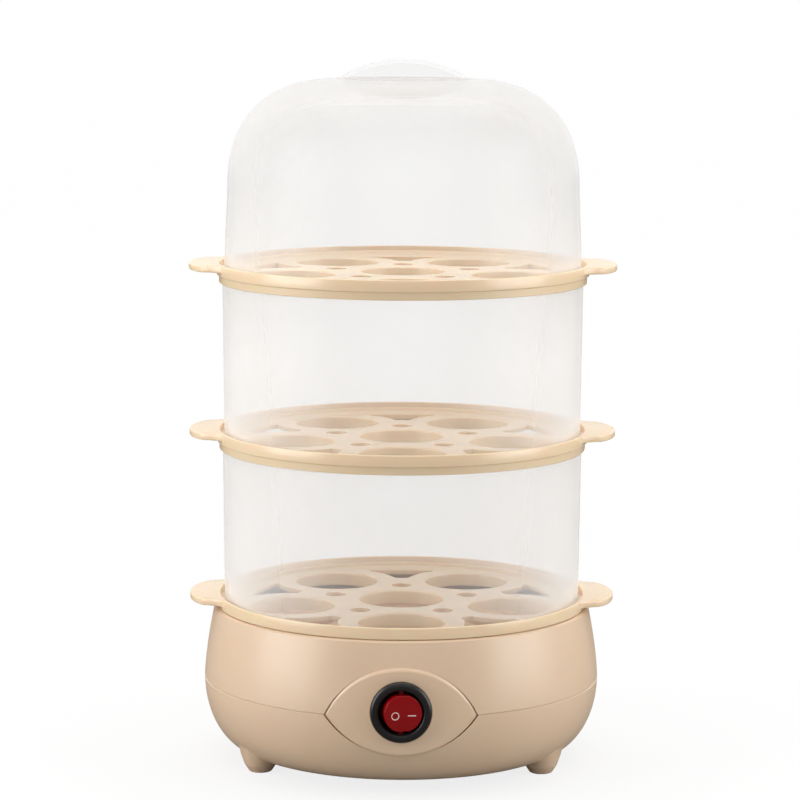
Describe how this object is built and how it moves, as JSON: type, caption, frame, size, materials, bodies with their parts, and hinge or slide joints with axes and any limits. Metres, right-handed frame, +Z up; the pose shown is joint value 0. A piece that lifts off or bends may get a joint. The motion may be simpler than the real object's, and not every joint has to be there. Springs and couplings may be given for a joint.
{
  "type": "egg boiler",
  "caption": "Electric egg boiler: round base with a heating dish and a rocker switch, and stacked egg trays with clear rings under a clear domed lid with a sunk grip",
  "frame": {"origin": "on the ground, under the middle of the boiler", "axes": "+Z is up, and the switch faces -Y"},
  "size_m": [0.1754, 0.1718, 0.2882],
  "materials": {
    "cream_plastic": "satin",
    "tray_plastic": "satin",
    "clear_plastic": "clear, polished",
    "black_plastic": "satin",
    "red_plastic": "polished, slightly translucent",
    "steel": "brushed",
    "aluminium": "bare",
    "brass": "bare",
    "grey_silicone": "matte",
    "black_rubber": "matte",
    "white_insulation": "matte",
    "lamp_glass": "clear"
  },
  "bodies": {
    "base": {"clamp_nut_1": "steel", "clamp_nut_2": "steel", "clamp_plate": "steel", "cord_gland": "black_rubber", "dish_seal": "grey_silicone", "heater_block": "aluminium", "heating_dish": "steel", "lower_shell": "cream_plastic", "shell_screw_1": "steel", "shell_screw_2": "steel", "shell_screw_3": "steel", "switch_housing": "black_plastic", "switch_lamp": "lamp_glass", "switch_terminal_1": "brass", "switch_terminal_2": "brass", "switch_terminal_3": "brass", "thermal_fuse": "brass", "thermostat": "aluminium", "upper_shell": "cream_plastic", "wire_fuse_to_joint": "white_insulation", "wire_heater_to_fuse": "white_insulation", "wire_joint": "white_insulation", "wire_switch_to_joint": "white_insulation", "wire_switch_to_thermostat": "white_insulation", "wire_thermostat_to_heater": "white_insulation"},
    "rocker": {"switch_rocker": "red_plastic"},
    "tray_bottom": {"tray_bottom": "tray_plastic"},
    "ring_lower": {"ring_lower": "clear_plastic"},
    "tray_middle": {"tray_middle": "tray_plastic"},
    "ring_upper": {"ring_upper": "clear_plastic"},
    "tray_top": {"tray_top": "tray_plastic"},
    "lid": {"lid": "clear_plastic"}
  },
  "joints": [
    {"name": "rocker_hinge", "type": "hinge", "parent": "base", "child": "rocker", "pos_m": [0, -0.0795, 0.0362], "axis": [0, 0, -1], "range_deg": [0, 20]},
    {"name": "tray_bottom_lift", "type": "slide", "parent": "base", "child": "tray_bottom", "axis": [0, 0, 1], "range_m": [0, 0.08]},
    {"name": "ring_lower_lift", "type": "slide", "parent": "tray_bottom", "child": "ring_lower", "axis": [0, 0, 1], "range_m": [0, 0.08]},
    {"name": "tray_middle_lift", "type": "slide", "parent": "ring_lower", "child": "tray_middle", "axis": [0, 0, 1], "range_m": [0, 0.08]},
    {"name": "ring_upper_lift", "type": "slide", "parent": "tray_middle", "child": "ring_upper", "axis": [0, 0, 1], "range_m": [0, 0.08]},
    {"name": "tray_top_lift", "type": "slide", "parent": "ring_upper", "child": "tray_top", "axis": [0, 0, 1], "range_m": [0, 0.08]},
    {"name": "lid_lift", "type": "slide", "parent": "tray_top", "child": "lid", "axis": [0, 0, 1], "range_m": [0, 0.08]}
  ]
}
